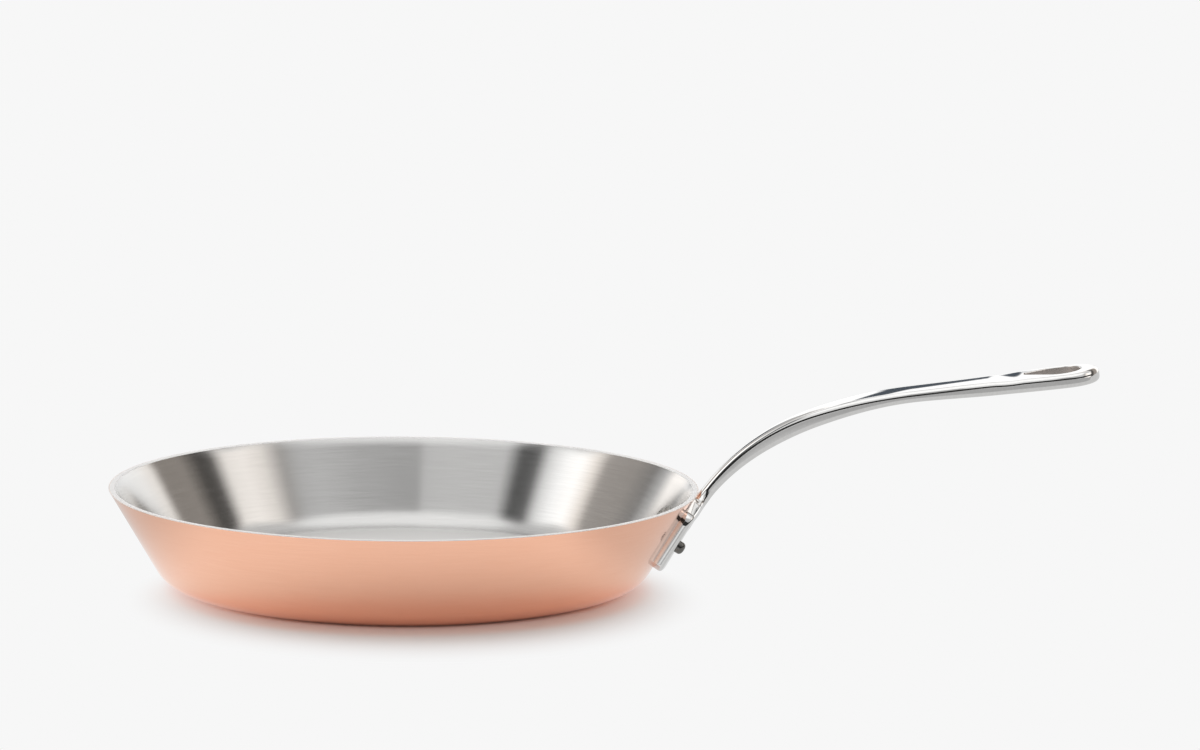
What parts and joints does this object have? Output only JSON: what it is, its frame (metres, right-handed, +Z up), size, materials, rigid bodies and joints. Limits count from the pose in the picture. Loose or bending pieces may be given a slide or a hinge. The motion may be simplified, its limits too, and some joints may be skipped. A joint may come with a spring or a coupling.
{
  "type": "omelette pan",
  "caption": "Round omelette pan with flared wall, flat rim, copper outside, steel lining and a long cast handle riveted at a wide flange, with a hanging slot.",
  "frame": {"origin": "centre of the flat base's underside", "axes": "+X from the pan's centre along the handle, +Z up, +Y to the left when looking along +X"},
  "size_m": [0.4689, 0.28, 0.1071],
  "materials": {
    "copper": null,
    "core": "plain aluminium, seen only as a line in the rim",
    "lining": "stainless steel, finely brushed round the pan",
    "handle_steel": "cast stainless steel, polished to a mirror",
    "rivet_steel": "stainless steel, satin, a little darker than the handle"
  },
  "bodies": {
    "root": {"copper_shell": "copper", "aluminium_core": "core", "steel_lining": "lining", "handle": "handle_steel", "rivet_left": "rivet_steel", "rivet_right": "rivet_steel"}
  },
  "joints": []
}
